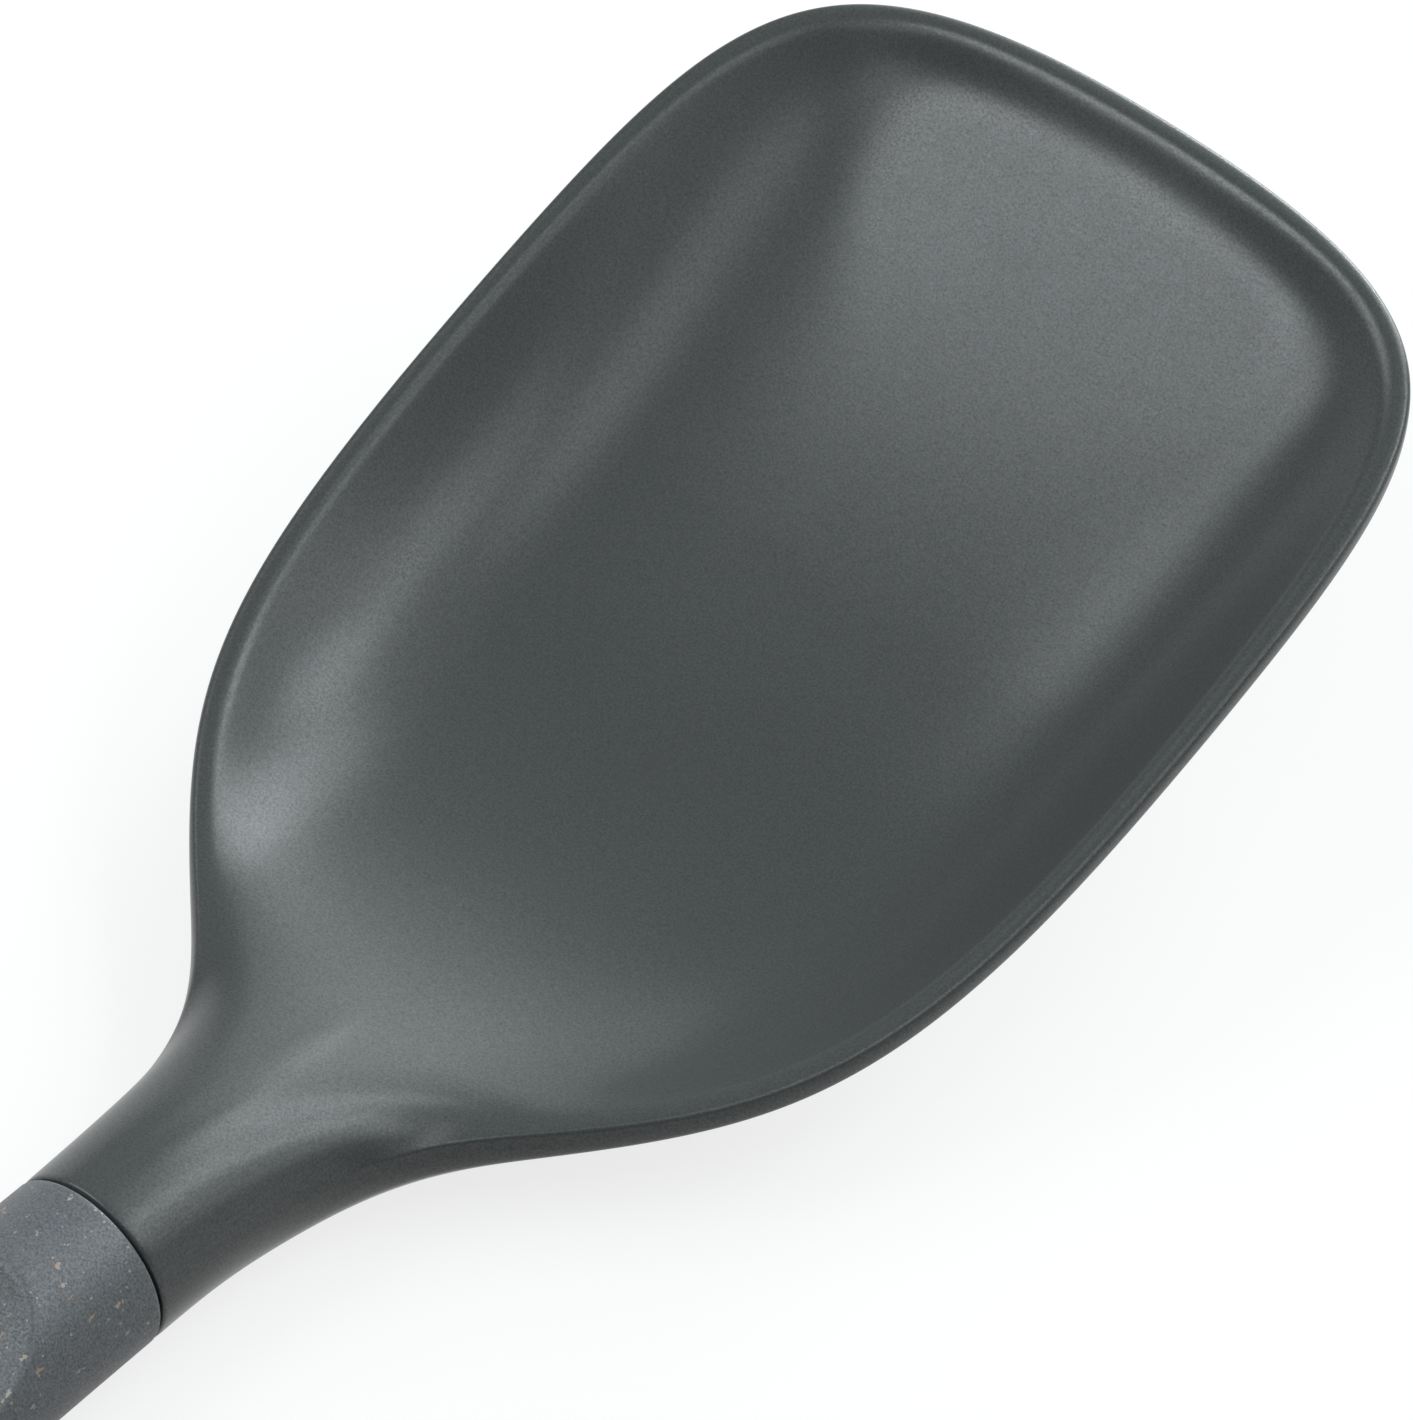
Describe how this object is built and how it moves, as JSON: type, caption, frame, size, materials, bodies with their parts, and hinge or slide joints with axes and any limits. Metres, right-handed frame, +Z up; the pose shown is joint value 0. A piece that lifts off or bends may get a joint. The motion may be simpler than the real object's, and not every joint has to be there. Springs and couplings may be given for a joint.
{
  "type": "scoop turner",
  "caption": "Single blade kitchen paddle with a broad scooped head on a round neck and a straight flecked handle, for turning, lifting and serving food.",
  "frame": {"origin": "middle of the length and width, on the plane that the handle and neck lie on", "axes": "+Y along the handle towards the blade's tip, +Z up out of the bowl, +X to the right seen from the handle"},
  "size_m": [0.0848, 0.3454, 0.045],
  "materials": {
    "head_silicone": "fine moulded grain, satin, dark grey",
    "core_nylon": "as moulded, glass filled, near black",
    "handle_composite": "satin, dark grey with sparse pale and tan fibre flecks"
  },
  "bodies": {
    "root": {"silicone_head": "head_silicone", "blade_core": "core_nylon", "handle": "handle_composite"}
  },
  "joints": []
}
